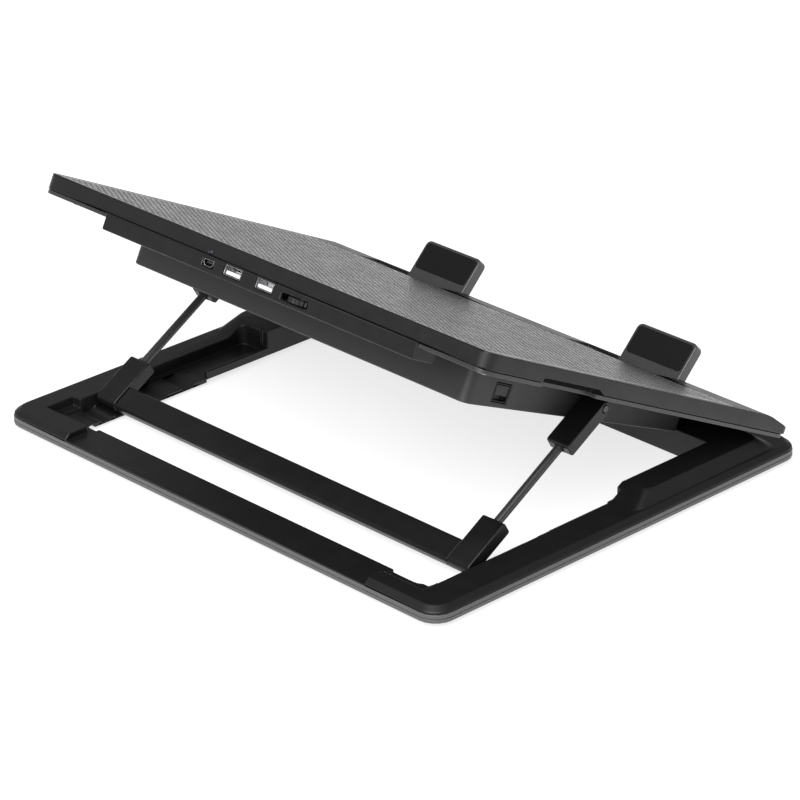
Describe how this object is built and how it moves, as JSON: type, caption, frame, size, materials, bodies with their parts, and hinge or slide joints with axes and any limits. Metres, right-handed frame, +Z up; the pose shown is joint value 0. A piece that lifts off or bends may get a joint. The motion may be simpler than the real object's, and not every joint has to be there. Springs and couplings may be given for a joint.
{
  "type": "laptop cooling pad",
  "caption": "Tilting laptop stand: a perforated deck with a fan, hinged on an open base frame and propped by a folding strut, with flip-up stoppers and sockets on the rear edge.",
  "frame": {"origin": "centre of the footprint, on the surface that the feet stand on", "axes": "+Z up; +Y to the rear, where the sockets are; the user sits at -Y, so +X is the user's right"},
  "size_m": [0.35, 0.29, 0.1457],
  "materials": {
    "black_plastic": "satin near-black moulded plastic",
    "strut_plastic": "satin near-black moulded plastic",
    "grey_plastic": "smooth grey moulded plastic, slightly glossy",
    "housing_plastic": "dark moulded plastic with a fine grain",
    "grille_plastic": "dark moulded plastic",
    "rotor_plastic": "dark moulded plastic",
    "mesh_metal": "grey painted perforated sheet",
    "rubber": "matte black rubber",
    "black_steel": "semi-gloss black coated steel",
    "steel": "plain steel",
    "socket_metal": "nickel-plated sheet",
    "tongue_plastic": "white moulded plastic",
    "contact_plastic": "black moulded plastic",
    "board": "green solder mask",
    "copper": "lacquered copper windings",
    "lamp_lens": "clear blue lens",
    "lead_sleeve": "black cable sleeve"
  },
  "bodies": {
    "base": {"base_tray": "grey_plastic", "base_frame": "black_plastic", "foot_front_left": "rubber", "foot_front_right": "rubber", "foot_rear_left": "rubber", "foot_rear_right": "rubber", "hinge_bracket_left": "black_steel", "hinge_bracket_right": "black_steel", "hinge_pin_left": "steel", "hinge_pin_right": "steel", "base_screw_1": "steel", "base_screw_2": "steel", "base_screw_3": "steel", "base_screw_4": "steel", "base_screw_5": "steel", "base_screw_6": "steel"},
    "deck": {"deck_frame": "black_plastic", "mesh_plate": "mesh_metal", "deck_shell": "grey_plastic", "port_cover": "black_plastic", "fan_housing": "housing_plastic", "fan_grille": "grille_plastic", "fan_frame": "housing_plastic", "fan_stator": "copper", "main_board": "board", "usb_shell_1": "socket_metal", "usb_shell_2": "socket_metal", "usb_tongue_1": "tongue_plastic", "usb_tongue_2": "tongue_plastic", "mini_usb_shell": "socket_metal", "mini_usb_tongue": "contact_plastic", "dial_post": "steel", "power_lamp": "lamp_lens", "switch_body": "black_plastic", "fan_lead": "lead_sleeve", "stopper_pin_left": "steel", "stopper_pin_right": "steel", "strut_pin_left": "steel", "strut_pin_right": "steel", "deck_screw_1": "steel", "deck_screw_2": "steel", "deck_screw_3": "steel", "deck_screw_4": "steel"},
    "strut": {"strut_sleeve_left": "strut_plastic", "strut_sleeve_right": "strut_plastic", "strut_foot_left": "strut_plastic", "strut_foot_right": "strut_plastic", "strut_rod_left": "black_steel", "strut_rod_right": "black_steel", "crossbar": "strut_plastic"},
    "fan": {"fan_rotor": "rotor_plastic", "fan_shaft": "steel"},
    "dial": {"speed_dial": "black_plastic"},
    "switch": {"switch_knob": "housing_plastic"},
    "stopper_left": {"stopper_left": "black_plastic"},
    "stopper_right": {"stopper_right": "black_plastic"}
  },
  "joints": [
    {"name": "deck_tilt", "type": "hinge", "parent": "base", "child": "deck", "pos_m": [0, -0.117, 0.0187], "axis": [1, 0, 0], "range_deg": [-25, 19]},
    {"name": "strut_fold", "type": "hinge", "parent": "deck", "child": "strut", "pos_m": [0, -0.00765, 0.06894], "axis": [1, 0, 0], "range_deg": [-40.6, 53.4]},
    {"name": "stopper_left_fold", "type": "hinge", "parent": "deck", "child": "stopper_left", "pos_m": [-0.086, -0.11534, 0.03345], "axis": [1, 0, 0], "range_deg": [-108, 0]},
    {"name": "stopper_right_fold", "type": "hinge", "parent": "deck", "child": "stopper_right", "pos_m": [0.086, -0.11534, 0.03345], "axis": [1, 0, 0], "range_deg": [-108, 0]},
    {"name": "fan_spin", "type": "hinge", "parent": "deck", "child": "fan", "pos_m": [-0.0045, -0.00933, 0.07168], "axis": [0, -0.4415, 0.8973], "continuous": true},
    {"name": "speed_turn", "type": "hinge", "parent": "deck", "child": "dial", "pos_m": [-0.0354, 0.10549, 0.1303], "axis": [0, -0.4415, 0.8973], "range_deg": [0, 270]},
    {"name": "switch_slide", "type": "slide", "parent": "deck", "child": "switch", "axis": [0, 0.4415, -0.8973], "range_m": [0, 0.0025]}
  ],
  "couplings": [
    {"joint": "strut_fold", "follows": "deck_tilt", "ratio": -2.13}
  ]
}
